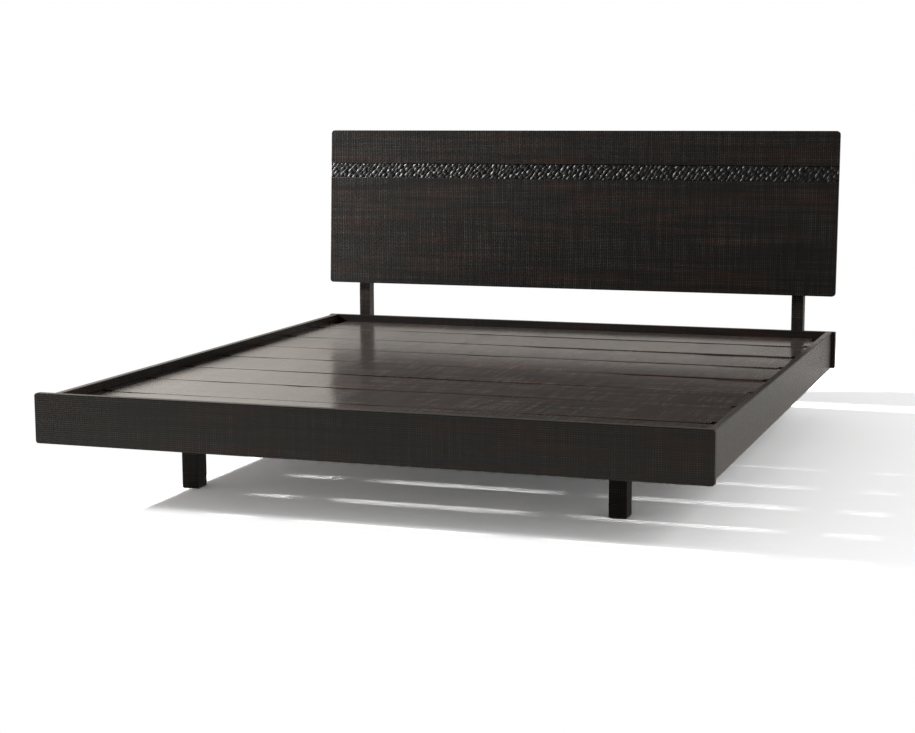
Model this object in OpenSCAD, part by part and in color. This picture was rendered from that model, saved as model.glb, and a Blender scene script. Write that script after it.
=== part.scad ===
// Low platform bed of dark stained planks.
// Loose deck boards lie across the frame and lift straight out.
// X runs across the bed, Y from the foot to the head, Z up from the floor.

/* [Mattress and frame] */
// Width of the mattress between the side rails
mattress_w = 1800; // [1700:10:1900]
// Length of the mattress between the foot board and the head rail
mattress_l = 2000; // [1950:10:2100]
// Room beside the mattress at each side
side_room = 5; // [2:1:12]
// Room past the ends of the mattress, foot and head together
end_room = 24; // [12:1:50]
// Thickness of the foot board, the head rail and the side rails
plank_t = 20; // [18:1:26]
// Length of foot board and head rail past each side rail
overhang = 12; // [4:1:30]
// Radius of the foot board's corners
plank_corner_r = 8; // [4:1:20]
// Radius of the head rail's corners
head_corner_r = 3; // [1:1:12]
// Clear height under the foot board
floor_clear = 165; // [130:5:220]
// Height of the foot board
foot_h = 139; // [132:1:160]
// Height of the side rails and the head rail
rail_h = 125; // [118:1:145]
// Step from the foot board's lower edge up to the side rails' lower edge
rail_lift = 2; // [0:1:8]

/* [Deck] */
// Width of a deck board, all but the last one at the head
board_w = 251; // [235:1:258]
// Thickness of a deck board
board_t = 18; // [15:1:20]
// Open joint between two deck boards
board_gap = 4; // [2:0.5:6]
// Gap between the foot board and the first deck board
deck_front_gap = 17; // [10:1:30]
// Gap between the last deck board and the head rail
deck_rear_gap = 11; // [6:1:20]
// Depth of the deck's top below the top of the side rails
deck_drop = 24; // [20:1:32]
// Gap between a deck board's end and the side rail
board_end_gap = 2; // [1:0.5:4]
// Gap under a loose deck board
seat_gap = 0.3; // [0.2:0.05:0.4]

/* [Locating blocks] */
// Reach of a locating block inward from the side rail
block_w = 39; // [25:1:45]
// Length of a locating block along the side rail
block_l = 26; // [18:1:40]
// Play between a locating block and the deck boards around it
block_play = 1.5; // [1:0.5:3]
// Depth of a locating block's top below the deck's top
block_drop = 6; // [1:1:8]

/* [Ledgers and beams] */
// Width of the ledger along each side rail
ledger_w = 34; // [28:1:45]
// Height of the ledger along each side rail
ledger_h = 40; // [30:1:50]
// Gap between a ledger's end and the foot board or head rail
ledger_end_gap = 2; // [1:0.5:5]
// Distance from a side rail's inner face to the middle of the outer beam
beam_inset = 282; // [220:1:340]
// Width of a beam
beam_w = 46; // [38:1:60]
// Height of a beam
beam_h = 48; // [40:1:56]

/* [Legs] */
// Width of a leg across the bed
leg_w = 49; // [40:1:60]
// Depth of a leg along the bed
leg_d = 56; // [38:1:66]
// Distance from the outside of the bed to the front of a leg
leg_inset = 294; // [240:1:340]
// Thickness of the felt pad under a leg
pad_t = 2; // [2:0.5:5]
// Margin of the pad inside the leg's outline
pad_margin = 1.5; // [1:0.5:6]

/* [Headboard] */
// Reach of the headboard panel past the mattress at each side
panel_reach = 33; // [0:1:60]
// Height of the headboard panel, measured along its slope
panel_h = 562; // [520:1:640]
// Thickness of the headboard panel
panel_t = 20; // [18:1:28]
// Radius of the panel's corners
panel_corner_r = 12; // [4:1:25]
// Clear height from the side rails' top to the panel's lower edge
panel_gap = 120; // [80:1:160]
// Lean of the headboard from the vertical, in degrees
recline = 3.4; // [1:0.2:8]
// Distance from the panel's top edge down to the carved band
band_drop = 119; // [90:1:150]
// Height of the carved band
band_h = 53; // [40:1:70]
// Thickness of the carved band's strip
band_t = 5; // [4:0.5:7]
// Depth of the strip's face behind the panel's face
band_recess = 3; // [1:0.5:4]
// Distance from a side rail's inner face to the middle of a post
post_inset = 102; // [70:1:180]
// Width of a post
post_w = 40; // [32:1:55]
// Depth of a post
post_d = 44; // [36:1:60]
// Length of post behind the panel, measured along its slope
post_reach = 400; // [370:1:420]
// Height of straight post left between its bend and the panel's lower edge
post_bend_drop = 32; // [10:1:60]
// Gap that the finish leaves between the panel and its posts
finish_gap = 0.05; // [0.02:0.01:0.2]

/* [Fittings] */
// Shank diameter of the connecting bolts and studs
bolt_d = 8; // [6:0.5:9]
// Head diameter of the connecting bolts
bolt_head_d = 16; // [14:0.5:18]
// Head thickness of the connecting bolts
bolt_head_t = 3; // [2:0.5:5]
// Distance from a side rail's edges to its bolts
bolt_edge = 19.5; // [17:0.5:24]
// Distance from a side rail's end to its barrel nuts
nut_inset = 68; // [50:1:80]
// Diameter of a barrel nut's body
nut_d = 11; // [10.5:0.5:13]
// Diameter of a barrel nut's rim
nut_rim_d = 14; // [14:0.5:17]
// Thickness of a barrel nut's rim
nut_rim_t = 2.5; // [1:0.5:3]
// Diameter of a threaded insert
insert_d = 12; // [11.5:0.5:14]
// Diameter of a wooden dowel
dowel_d = 10; // [6:0.5:12]
// Shank diameter of the small screws
screw_d = 4; // [3:0.5:4.5]
// Head diameter of the small screws
screw_head_d = 8; // [6.5:0.5:9]
// Shank diameter of the ledger screws
ledger_screw_d = 5; // [4:0.5:6]
// Thickness of the steel shoes and leg plates
plate_t = 2.5; // [2:0.5:4]
// Radial clearance of a shank in its hole
hole_gap = 0.1; // [0.05:0.05:0.2]

/* [Hidden] */
$fn = 64;

stain = [0.16, 0.14, 0.13];
deck_stain = [0.25, 0.23, 0.21];
raw_wood = [0.62, 0.5, 0.36];
steel = [0.6, 0.61, 0.63];
brass = [0.78, 0.56, 0.28];
felt = [0.1, 0.1, 0.1];

// Depth that a cutting tool runs past a face
over = 1;
sides = [-1, 1];

// Frame outline, measured from the foot board's front face
inner_w = mattress_w + 2 * side_room;
inner_l = mattress_l + end_room;
inner_x = inner_w / 2;
outer_x = inner_x + plank_t;
cross_w = 2 * (outer_x + overhang);
foot_back = plank_t;
head_front = foot_back + inner_l;
head_back = head_front + plank_t;

// Heights
foot_z = floor_clear;
rail_z = floor_clear + rail_lift;
rail_top = rail_z + rail_h;
deck_top = rail_top - deck_drop;
deck_under = deck_top - board_t;
support_top = deck_under - seat_gap;
beam_under = support_top - beam_h;
leg_top = beam_under - plate_t;
ledger_under = support_top - ledger_h;

// Deck
board_count = 8;
board_pitch = board_w + board_gap;
deck_front = foot_back + deck_front_gap;
deck_rear = head_front - deck_rear_gap;
board_x = inner_x - board_end_gap;
block_inner_x = inner_x - block_w;
notch_x = block_inner_x - block_play;
notch_l = block_l + 2 * block_play - board_gap;
function board_front(i) = deck_front + (i - 1) * board_pitch;
function board_back(i) = i < board_count ? board_front(i) + board_w : deck_rear;

// Corner fittings
bolt_x = inner_x + plank_t / 2;
bolt_heights = [rail_z + bolt_edge, rail_top - bolt_edge];
nut_body_l = plank_t - 3.5;
nut_room = 10;
corner_cut = nut_inset + nut_room;
stud_past_nut = 10;
insert_l = plank_t - 6;
dowel_z = rail_z + rail_h / 2;
dowel_in_plank = 12;
dowel_in_rail = 28;
dowel_slack = 0.5;

// Headboard, in a frame at the foot of the panel's back face
panel_w = mattress_w + 2 * panel_reach;
post_x = inner_x - post_inset;
post_front = head_back;
panel_under = rail_top + panel_gap;
post_bend = panel_under - post_bend_drop;
lean = tan(recline);
panel_back = post_front + post_bend_drop * lean - finish_gap;
post_foot = rail_z + 5;
post_top = panel_under + post_reach * cos(recline);
post_top_back = post_front + post_d + (post_top - post_bend) * lean;
post_thick = post_d * cos(recline);
panel_insert_l = panel_t - 7;
panel_bolt_heights = [60, 200, 340];
sunk = 6;
post_bolt_edge = 32;
post_bolt_heights = [rail_z + post_bolt_edge, rail_top - post_bolt_edge];

// Beams and legs
beam_x = inner_x - beam_inset;
beam_play = 0.5;
beam_front = foot_back + plate_t + beam_play;
beam_back = head_front - plate_t - beam_play;
front_leg_y = leg_inset + leg_d / 2;
rear_leg_y = head_back - front_leg_y;
centre_leg_y = head_back / 2;
leg_spots = [
  [-beam_x, front_leg_y], [beam_x, front_leg_y],
  [-beam_x, rear_leg_y], [beam_x, rear_leg_y], [0, centre_leg_y],
];
stud_in_leg = 45;
stud_in_beam = 8;
stud_slack = 1;
leg_plate_l = 120;
leg_plate_margin = 2;
leg_screw_reach = 45;
leg_screw_x = 12;
leg_screw_l = 18;
shoe_reach = 40;
shoe_wing = 22;
shoe_screw_edge = 12;
shoe_screw_l = 13;
screw_head_t = 2;
shoe_under = beam_under - plate_t;
shoe_screw_heights = [shoe_under + shoe_screw_edge, support_top - shoe_screw_edge];
ledger_screw_in_rail = 14;
ledger_screw_head_d = 9;
ledger_screw_head_t = 3;
ledger_screw_count = 7;
ledger_screw_pitch = inner_l / ledger_screw_count;
function ledger_screw_y(i) = foot_back + (i - 0.5) * ledger_screw_pitch;
ledger_screw_z = support_top - ledger_h / 2;

// The part's origin is under the middle of its whole depth
module place() {
  translate([0, -post_top_back / 2, 0]) children();
}

// Cylinder along Y that starts at y
module rod_y(x, y, z, d, l) {
  translate([x, y, z]) rotate([-90, 0, 0]) cylinder(d = d, h = l);
}

// Hole along Y with clearance round a shank
module hole_y(x, y, z, d, l) {
  rod_y(x, y, z, d + 2 * hole_gap, l);
}

// Flat outline with round corners, standing in X and Z
module round_outline(w, h, r) {
  union() {
    translate([-w / 2 + r, 0]) square([w - 2 * r, h]);
    translate([-w / 2, r]) square([w, h - 2 * r]);
    for (x = [-w / 2 + r, w / 2 - r], z = [r, h - r]) translate([x, z]) circle(r = r);
  }
}

// Upright plank with its front face at y
module cross_plank(y, z, w, h, t, r) {
  translate([0, y + t, z]) rotate([90, 0, 0]) linear_extrude(height = t) round_outline(w, h, r);
}

// Pilot holes for the screws of the beam shoes on one face
module shoe_pilots(y) {
  for (x = [-beam_x, 0, beam_x], side = sides, z = shoe_screw_heights)
    hole_y(x + side * shoe_screw_x(), y, z, screw_d, shoe_screw_l + 0.5);
}

function shoe_screw_x() = beam_w / 2 + plate_t + shoe_wing / 2;

module foot_board() {
  color(stain) place() difference() {
    cross_plank(0, foot_z, cross_w, foot_h, plank_t, plank_corner_r);
    for (side = sides, z = bolt_heights)
      hole_y(side * bolt_x, foot_back - insert_l, z, insert_d, insert_l + over);
    for (side = sides)
      hole_y(side * bolt_x, foot_back - dowel_in_plank, dowel_z, dowel_d, dowel_in_plank + over);
    shoe_pilots(foot_back - shoe_screw_l - 0.5 + plate_t);
  }
}

module head_rail() {
  color(stain) place() difference() {
    cross_plank(head_front, rail_z, cross_w, rail_h, plank_t, head_corner_r);
    for (side = sides, z = bolt_heights)
      hole_y(side * bolt_x, head_front - over, z, bolt_d, plank_t + 2 * over);
    for (side = sides)
      hole_y(side * bolt_x, head_front - over, dowel_z, dowel_d, dowel_in_plank + over);
    for (side = sides, z = post_bolt_heights)
      hole_y(side * post_x, head_back - insert_l, z, insert_d, insert_l + over);
    shoe_pilots(head_front - plate_t);
  }
}

// Side rail with bolt and dowel bores in both ends and its barrel nut bores
module side_rail(side) {
  bore_l = nut_inset + stud_past_nut + stud_slack;
  color(stain) place() difference() {
    translate([side > 0 ? inner_x : -outer_x, foot_back, rail_z]) cube([plank_t, inner_l, rail_h]);
    for (z = bolt_heights) {
      hole_y(side * bolt_x, foot_back - over, z, bolt_d, bore_l + over);
      hole_y(side * bolt_x, head_front - bore_l, z, bolt_d, bore_l + over);
      for (y = [foot_back + nut_inset, head_front - nut_inset])
        barrel_bore(side, y, z);
    }
    hole_y(side * bolt_x, foot_back - over, dowel_z, dowel_d, dowel_in_rail + dowel_slack + over);
    hole_y(side * bolt_x, head_front - dowel_in_rail - dowel_slack, dowel_z, dowel_d,
      dowel_in_rail + dowel_slack + over);
    for (i = [1 : ledger_screw_count])
      rod_x(side, inner_x - over, ledger_screw_y(i), ledger_screw_z,
        ledger_screw_d + 2 * hole_gap, ledger_screw_in_rail + over);
  }
}

// Cylinder along X that starts at x and runs outward on the given side
module rod_x(side, x, y, z, d, l) {
  translate([side * x, y, z]) rotate([0, side * 90, 0]) cylinder(d = d, h = l);
}

module barrel_bore(side, y, z) {
  rod_x(side, inner_x - over, y, z, nut_d + 2 * hole_gap, nut_body_l + over);
}

module ledger(side) {
  color(raw_wood) place() difference() {
    translate([side > 0 ? inner_x - ledger_w : -inner_x, foot_back + ledger_end_gap, ledger_under])
      cube([ledger_w, inner_l - 2 * ledger_end_gap, ledger_h]);
    for (i = [1 : ledger_screw_count]) {
      rod_x(side, inner_x - ledger_w - over, ledger_screw_y(i), ledger_screw_z,
        ledger_screw_d + 2 * hole_gap, ledger_w + 2 * over);
      rod_x(side, inner_x - ledger_w - over, ledger_screw_y(i), ledger_screw_z,
        ledger_screw_head_d + 2 * hole_gap, ledger_screw_head_t + over);
    }
  }
}

// One block on the ledger behind the open joint after each deck board but the last
module locating_blocks(side) {
  block_z = support_top;
  block_top = deck_top - block_drop;
  color(stain) place() for (i = [1 : board_count - 1])
    translate([side > 0 ? block_inner_x : -inner_x, board_back(i) + block_play, block_z])
      cube([block_w, block_l, block_top - block_z]);
}

module beam(x) {
  color(raw_wood) place() difference() {
    translate([x - beam_w / 2, beam_front, beam_under])
      cube([beam_w, beam_back - beam_front, beam_h]);
    for (spot = leg_spots) if (spot[0] == x) {
      translate([x, spot[1], beam_under - over])
        cylinder(d = bolt_d + 2 * hole_gap, h = stud_in_beam + stud_slack + over);
      leg_screw_layout(spot) translate([0, 0, beam_under - over])
        cylinder(d = screw_d + 2 * hole_gap, h = leg_screw_l + over);
    }
  }
}

// Positions of the four screws of one leg plate
module leg_screw_layout(spot) {
  for (sx = sides, sy = sides)
    translate([spot[0] + sx * leg_screw_x, spot[1] + sy * leg_screw_reach, 0]) children();
}

// Steel shoe that carries a beam's end, with its back on a plank's face
module beam_shoe() {
  half_w = beam_w / 2 + plate_t;
  shoe_h = support_top - shoe_under;
  difference() {
    union() {
      translate([-half_w, 0, 0]) cube([2 * half_w, shoe_reach, plate_t]);
      for (side = sides)
        translate([side > 0 ? beam_w / 2 : -half_w, 0, 0])
          cube([plate_t, shoe_reach, shoe_h / 2]);
      translate([-half_w - shoe_wing, 0, 0]) cube([2 * (half_w + shoe_wing), plate_t, shoe_h]);
    }
    for (side = sides, z = shoe_screw_heights)
      hole_y(side * shoe_screw_x(), -over, z - shoe_under, screw_d, plate_t + 2 * over);
  }
}

module beam_shoes() {
  color(steel) place() for (x = [-beam_x, 0, beam_x]) {
    translate([x, foot_back, shoe_under]) beam_shoe();
    translate([x, head_front, shoe_under]) mirror([0, 1, 0]) beam_shoe();
  }
}

module leg(spot) {
  color(stain) place() difference() {
    translate([spot[0] - leg_w / 2, spot[1] - leg_d / 2, pad_t]) cube([leg_w, leg_d, leg_top - pad_t]);
    translate([spot[0], spot[1], leg_top - stud_in_leg - stud_slack])
      cylinder(d = bolt_d + 2 * hole_gap, h = stud_in_leg + stud_slack + over);
  }
}

module leg_plates() {
  plate_w = beam_w - 2 * leg_plate_margin;
  color(steel) place() for (spot = leg_spots) difference() {
    translate([spot[0] - plate_w / 2, spot[1] - leg_plate_l / 2, leg_top])
      cube([plate_w, leg_plate_l, plate_t]);
    translate([spot[0], spot[1], leg_top - over])
      cylinder(d = bolt_d + 2 * hole_gap, h = plate_t + 2 * over);
    leg_screw_layout(spot) translate([0, 0, leg_top - over])
      cylinder(d = screw_d + 2 * hole_gap, h = plate_t + 2 * over);
  }
}

module leg_plate_screws() {
  color(steel) place() for (spot = leg_spots) leg_screw_layout(spot) {
    translate([0, 0, leg_top - screw_head_t]) cylinder(d = screw_head_d, h = screw_head_t);
    translate([0, 0, leg_top - screw_head_t]) cylinder(d = screw_d, h = leg_screw_l + screw_head_t);
  }
}

module leg_studs() {
  color(steel) place() for (spot = leg_spots)
    translate([spot[0], spot[1], leg_top - stud_in_leg])
      cylinder(d = bolt_d, h = stud_in_leg + plate_t + stud_in_beam);
}

module leg_pads() {
  pad_w = leg_w - 2 * pad_margin;
  pad_d = leg_d - 2 * pad_margin;
  color(felt) place() for (spot = leg_spots)
    translate([spot[0] - pad_w / 2, spot[1] - pad_d / 2, 0]) cube([pad_w, pad_d, pad_t]);
}

// Deck board, notched round the blocks and cut back at the bed's corners
module deck_board(i) {
  front = board_front(i);
  back = board_back(i);
  cut_x = notch_x;
  cut_w = board_x - cut_x + over;
  color(deck_stain) place() difference() {
    translate([-board_x, front, deck_under]) cube([2 * board_x, back - front, board_t]);
    for (side = sides) {
      if (i > 1)
        corner_cutter(side, cut_x, front - over, cut_w, notch_l + over);
      if (i == 1)
        corner_cutter(side, cut_x, front - over, cut_w, foot_back + corner_cut - front + over);
      if (i == board_count)
        corner_cutter(side, cut_x, head_front - corner_cut, cut_w, corner_cut);
    }
  }
}

module corner_cutter(side, x, y, w, l) {
  translate([side > 0 ? x : -x - w, y, deck_under - over]) cube([w, l, board_t + 2 * over]);
}

// Frame of the leaning panel: its back face is y = 0 and its lower edge z = 0
module on_panel() {
  translate([0, panel_back, panel_under]) rotate([-recline, 0, 0]) children();
}

module headboard_panel() {
  groove_d = band_t + band_recess;
  color(stain) place() on_panel() difference() {
    cross_plank(-panel_t, 0, panel_w, panel_h, panel_t, panel_corner_r);
    translate([-panel_w / 2 - over, -panel_t - over, panel_h - band_drop - band_h])
      cube([panel_w + 2 * over, groove_d + over, band_h]);
    for (side = sides, z = panel_bolt_heights)
      hole_y(side * post_x, -panel_insert_l, z, insert_d, panel_insert_l + over);
  }
}

module carved_band() {
  color(stain) place() on_panel()
    translate([-panel_w / 2, -panel_t + band_recess, panel_h - band_drop - band_h])
      cube([panel_w, band_t, band_h]);
}

// Post with a straight foot, sawn to lean back behind the panel
module post(side) {
  rise = (post_top - post_bend) * lean;
  profile = [
    [post_front, post_foot], [post_front + post_d, post_foot], [post_front + post_d, post_bend],
    [post_front + post_d + rise, post_top], [post_front + rise, post_top], [post_front, post_bend],
  ];
  color(stain) place() difference() {
    translate([side * post_x - post_w / 2, 0, 0]) rotate([90, 0, 90])
      linear_extrude(height = post_w) polygon(profile);
    for (z = post_bolt_heights) {
      hole_y(side * post_x, post_front - over, z, bolt_d, post_d + 2 * over);
      hole_y(side * post_x, post_front + post_d - sunk, z, bolt_head_d, sunk + over);
    }
    on_panel() for (z = panel_bolt_heights) {
      hole_y(side * post_x, -over, z, bolt_d, post_thick + 2 * over);
      hole_y(side * post_x, post_thick - sunk, z, bolt_head_d, sunk + over);
    }
  }
}

// Bolt along Y whose head lies at the far end of its shank
module bolt_y(x, y, z, l, head_t) {
  union() {
    rod_y(x, y, z, bolt_d, l + head_t);
    rod_y(x, y + l, z, bolt_head_d, head_t);
  }
}

// Threaded insert along Y with its mouth at y + l
module insert_y(x, y, z, l) {
  difference() {
    rod_y(x, y, z, insert_d, l);
    hole_y(x, y - over, z, bolt_d, l + 2 * over);
  }
}

module headboard_bolts() {
  tip = -panel_insert_l + 1;
  color(steel) place() on_panel() for (side = sides, z = panel_bolt_heights)
    bolt_y(side * post_x, tip, z, post_thick - sunk - tip, bolt_head_t);
}

module headboard_inserts() {
  color(brass) place() on_panel() for (side = sides, z = panel_bolt_heights)
    insert_y(side * post_x, -panel_insert_l, z, panel_insert_l);
}

module post_bolts() {
  tip = head_back - insert_l + 1;
  color(steel) place() for (side = sides, z = post_bolt_heights)
    bolt_y(side * post_x, tip, z, post_front + post_d - sunk - tip, bolt_head_t);
}

module post_inserts() {
  color(brass) place() for (side = sides, z = post_bolt_heights)
    insert_y(side * post_x, head_back - insert_l, z, insert_l);
}

module head_corner_bolts() {
  tip = head_front - nut_inset - stud_past_nut;
  color(steel) place() for (side = sides, z = bolt_heights)
    bolt_y(side * bolt_x, tip, z, head_back - tip, bolt_head_t);
}

module foot_corner_studs() {
  tip = foot_back - insert_l + 1;
  color(steel) place() for (side = sides, z = bolt_heights)
    rod_y(side * bolt_x, tip, z, bolt_d, foot_back + nut_inset + stud_past_nut - tip);
}

module foot_inserts() {
  color(brass) place() for (side = sides, z = bolt_heights)
    insert_y(side * bolt_x, foot_back - insert_l, z, insert_l);
}

// Barrel nut with a rim on the side rail's inner face and a cross hole for its bolt
module barrel_nuts() {
  color(brass) place()
    for (side = sides, y = [foot_back + nut_inset, head_front - nut_inset], z = bolt_heights)
      difference() {
        union() {
          rod_x(side, inner_x - nut_rim_t, y, z, nut_rim_d, nut_rim_t);
          rod_x(side, inner_x - nut_rim_t, y, z, nut_d, nut_rim_t + nut_body_l - hole_gap);
        }
        hole_y(side * bolt_x, y - nut_d, z, bolt_d, 2 * nut_d);
      }
}

module corner_dowels() {
  color(raw_wood) place() for (side = sides) {
    rod_y(side * bolt_x, foot_back - dowel_in_plank, dowel_z, dowel_d, dowel_in_plank + dowel_in_rail);
    rod_y(side * bolt_x, head_front - dowel_in_rail, dowel_z, dowel_d, dowel_in_plank + dowel_in_rail);
  }
}

module ledger_screws() {
  color(steel) place() for (side = sides, i = [1 : ledger_screw_count]) union() {
    rod_x(side, inner_x - ledger_w, ledger_screw_y(i), ledger_screw_z,
      ledger_screw_head_d, ledger_screw_head_t);
    rod_x(side, inner_x - ledger_w, ledger_screw_y(i), ledger_screw_z,
      ledger_screw_d, ledger_w + ledger_screw_in_rail - 0.5);
  }
}

module shoe_screws() {
  color(steel) place() for (x = [-beam_x, 0, beam_x], side = sides, z = shoe_screw_heights) {
    sx = x + side * shoe_screw_x();
    rod_y(sx, foot_back + plate_t, z, screw_head_d, screw_head_t);
    rod_y(sx, foot_back + plate_t - shoe_screw_l, z, screw_d, shoe_screw_l + screw_head_t);
    rod_y(sx, head_front - plate_t - screw_head_t, z, screw_head_d, screw_head_t);
    rod_y(sx, head_front - plate_t - screw_head_t, z, screw_d, shoe_screw_l + screw_head_t);
  }
}

foot_board();
head_rail();
side_rail(-1);  // left_side_rail
side_rail(1);  // right_side_rail
ledger(-1);  // left_ledger
ledger(1);  // right_ledger
locating_blocks(-1);  // left_locating_blocks
locating_blocks(1);  // right_locating_blocks
beam(-beam_x);  // left_beam
beam(0);  // centre_beam
beam(beam_x);  // right_beam
beam_shoes();
leg(leg_spots[0]);  // front_left_leg
leg(leg_spots[1]);  // front_right_leg
leg(leg_spots[2]);  // rear_left_leg
leg(leg_spots[3]);  // rear_right_leg
leg(leg_spots[4]);  // centre_leg
leg_plates();
leg_studs();
leg_pads();
deck_board(1);  // deck_board_1
deck_board(2);  // deck_board_2
deck_board(3);  // deck_board_3
deck_board(4);  // deck_board_4
deck_board(5);  // deck_board_5
deck_board(6);  // deck_board_6
deck_board(7);  // deck_board_7
deck_board(8);  // deck_board_8
headboard_panel();
carved_band();
post(-1);  // left_post
post(1);  // right_post
headboard_bolts();
headboard_inserts();
post_bolts();
post_inserts();
head_corner_bolts();
foot_corner_studs();
foot_inserts();
barrel_nuts();
corner_dowels();
ledger_screws();
shoe_screws();
leg_plate_screws();
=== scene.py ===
import math

import bmesh
import bpy
from mathutils import Matrix, Vector


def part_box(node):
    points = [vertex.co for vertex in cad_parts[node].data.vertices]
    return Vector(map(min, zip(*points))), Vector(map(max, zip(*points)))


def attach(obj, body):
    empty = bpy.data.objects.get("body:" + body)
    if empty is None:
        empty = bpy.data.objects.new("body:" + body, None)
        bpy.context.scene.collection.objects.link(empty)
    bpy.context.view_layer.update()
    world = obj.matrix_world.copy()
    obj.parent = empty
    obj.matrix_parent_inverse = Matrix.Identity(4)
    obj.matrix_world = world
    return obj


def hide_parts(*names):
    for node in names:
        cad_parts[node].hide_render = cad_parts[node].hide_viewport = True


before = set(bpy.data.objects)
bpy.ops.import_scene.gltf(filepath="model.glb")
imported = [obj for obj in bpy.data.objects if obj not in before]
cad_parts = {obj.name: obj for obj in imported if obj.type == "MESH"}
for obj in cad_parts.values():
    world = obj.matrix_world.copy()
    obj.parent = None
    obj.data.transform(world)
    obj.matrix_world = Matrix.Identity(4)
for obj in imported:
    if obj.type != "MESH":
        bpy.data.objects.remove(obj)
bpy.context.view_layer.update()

# Camera
# It stands low in front of the right corner of the foot board, turned
# toward the head, as the bed was photographed.
focal_length_px = 1862.92
picture_width_px = 915.0
camera_place = (1.80422, -5.41073, 1.09729)
turned_left = 19.2843
looks_down = 8.2595
tilt = -0.2937
camera_data = bpy.data.cameras.new("camera")
camera_data.sensor_width = 36.0
camera_data.lens = focal_length_px * camera_data.sensor_width / picture_width_px
camera_data.clip_end = 200.0
camera = bpy.data.objects.new("camera", camera_data)
camera.matrix_world = (
    Matrix.Translation(camera_place)
    @ Matrix.Rotation(math.radians(turned_left), 4, "Z")
    @ Matrix.Rotation(math.radians(90.0 - looks_down), 4, "X")
    @ Matrix.Rotation(math.radians(tilt), 4, "Z")
)
bpy.context.scene.collection.objects.link(camera)
bpy.context.scene.camera = camera


# Foot board
# An upright plank with round corners that closes the front of the bed.
# Sawn from one board, its arrises eased, brushed across and along the
# grain into a fine crosshatch, then stained near black and lacquered.
def node_maker(tree):
    """Returns a function that adds a node, sets its properties and inputs, and links what is a socket."""

    def add(kind, inputs=(), **properties):
        node = tree.nodes.new(kind)
        for key, value in properties.items():
            setattr(node, key, value)
        for key, value in dict(inputs).items():
            if isinstance(value, bpy.types.NodeSocket):
                tree.links.new(value, node.inputs[key])
            else:
                node.inputs[key].default_value = value
        return node

    return add


def ramp(add, factor, stops):
    """Colour ramp with (place, colour) stops; a grey is one number."""
    node = add("ShaderNodeValToRGB", {"Fac": factor})
    elements = node.color_ramp.elements
    while len(elements) > 1:
        elements.remove(elements[-1])
    for i, (place, colour) in enumerate(stops):
        element = elements[0] if i == 0 else elements.new(place)
        element.position = place
        if not isinstance(colour, tuple):
            colour = (colour, colour, colour)
        element.color = (*colour, 1.0)
    return node.outputs["Color"]


def new_material(name):
    """An empty node material, and the function that adds its nodes."""
    material = bpy.data.materials.new(name)
    material.use_nodes = True
    material.node_tree.nodes.clear()
    return material, node_maker(material.node_tree)


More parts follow.
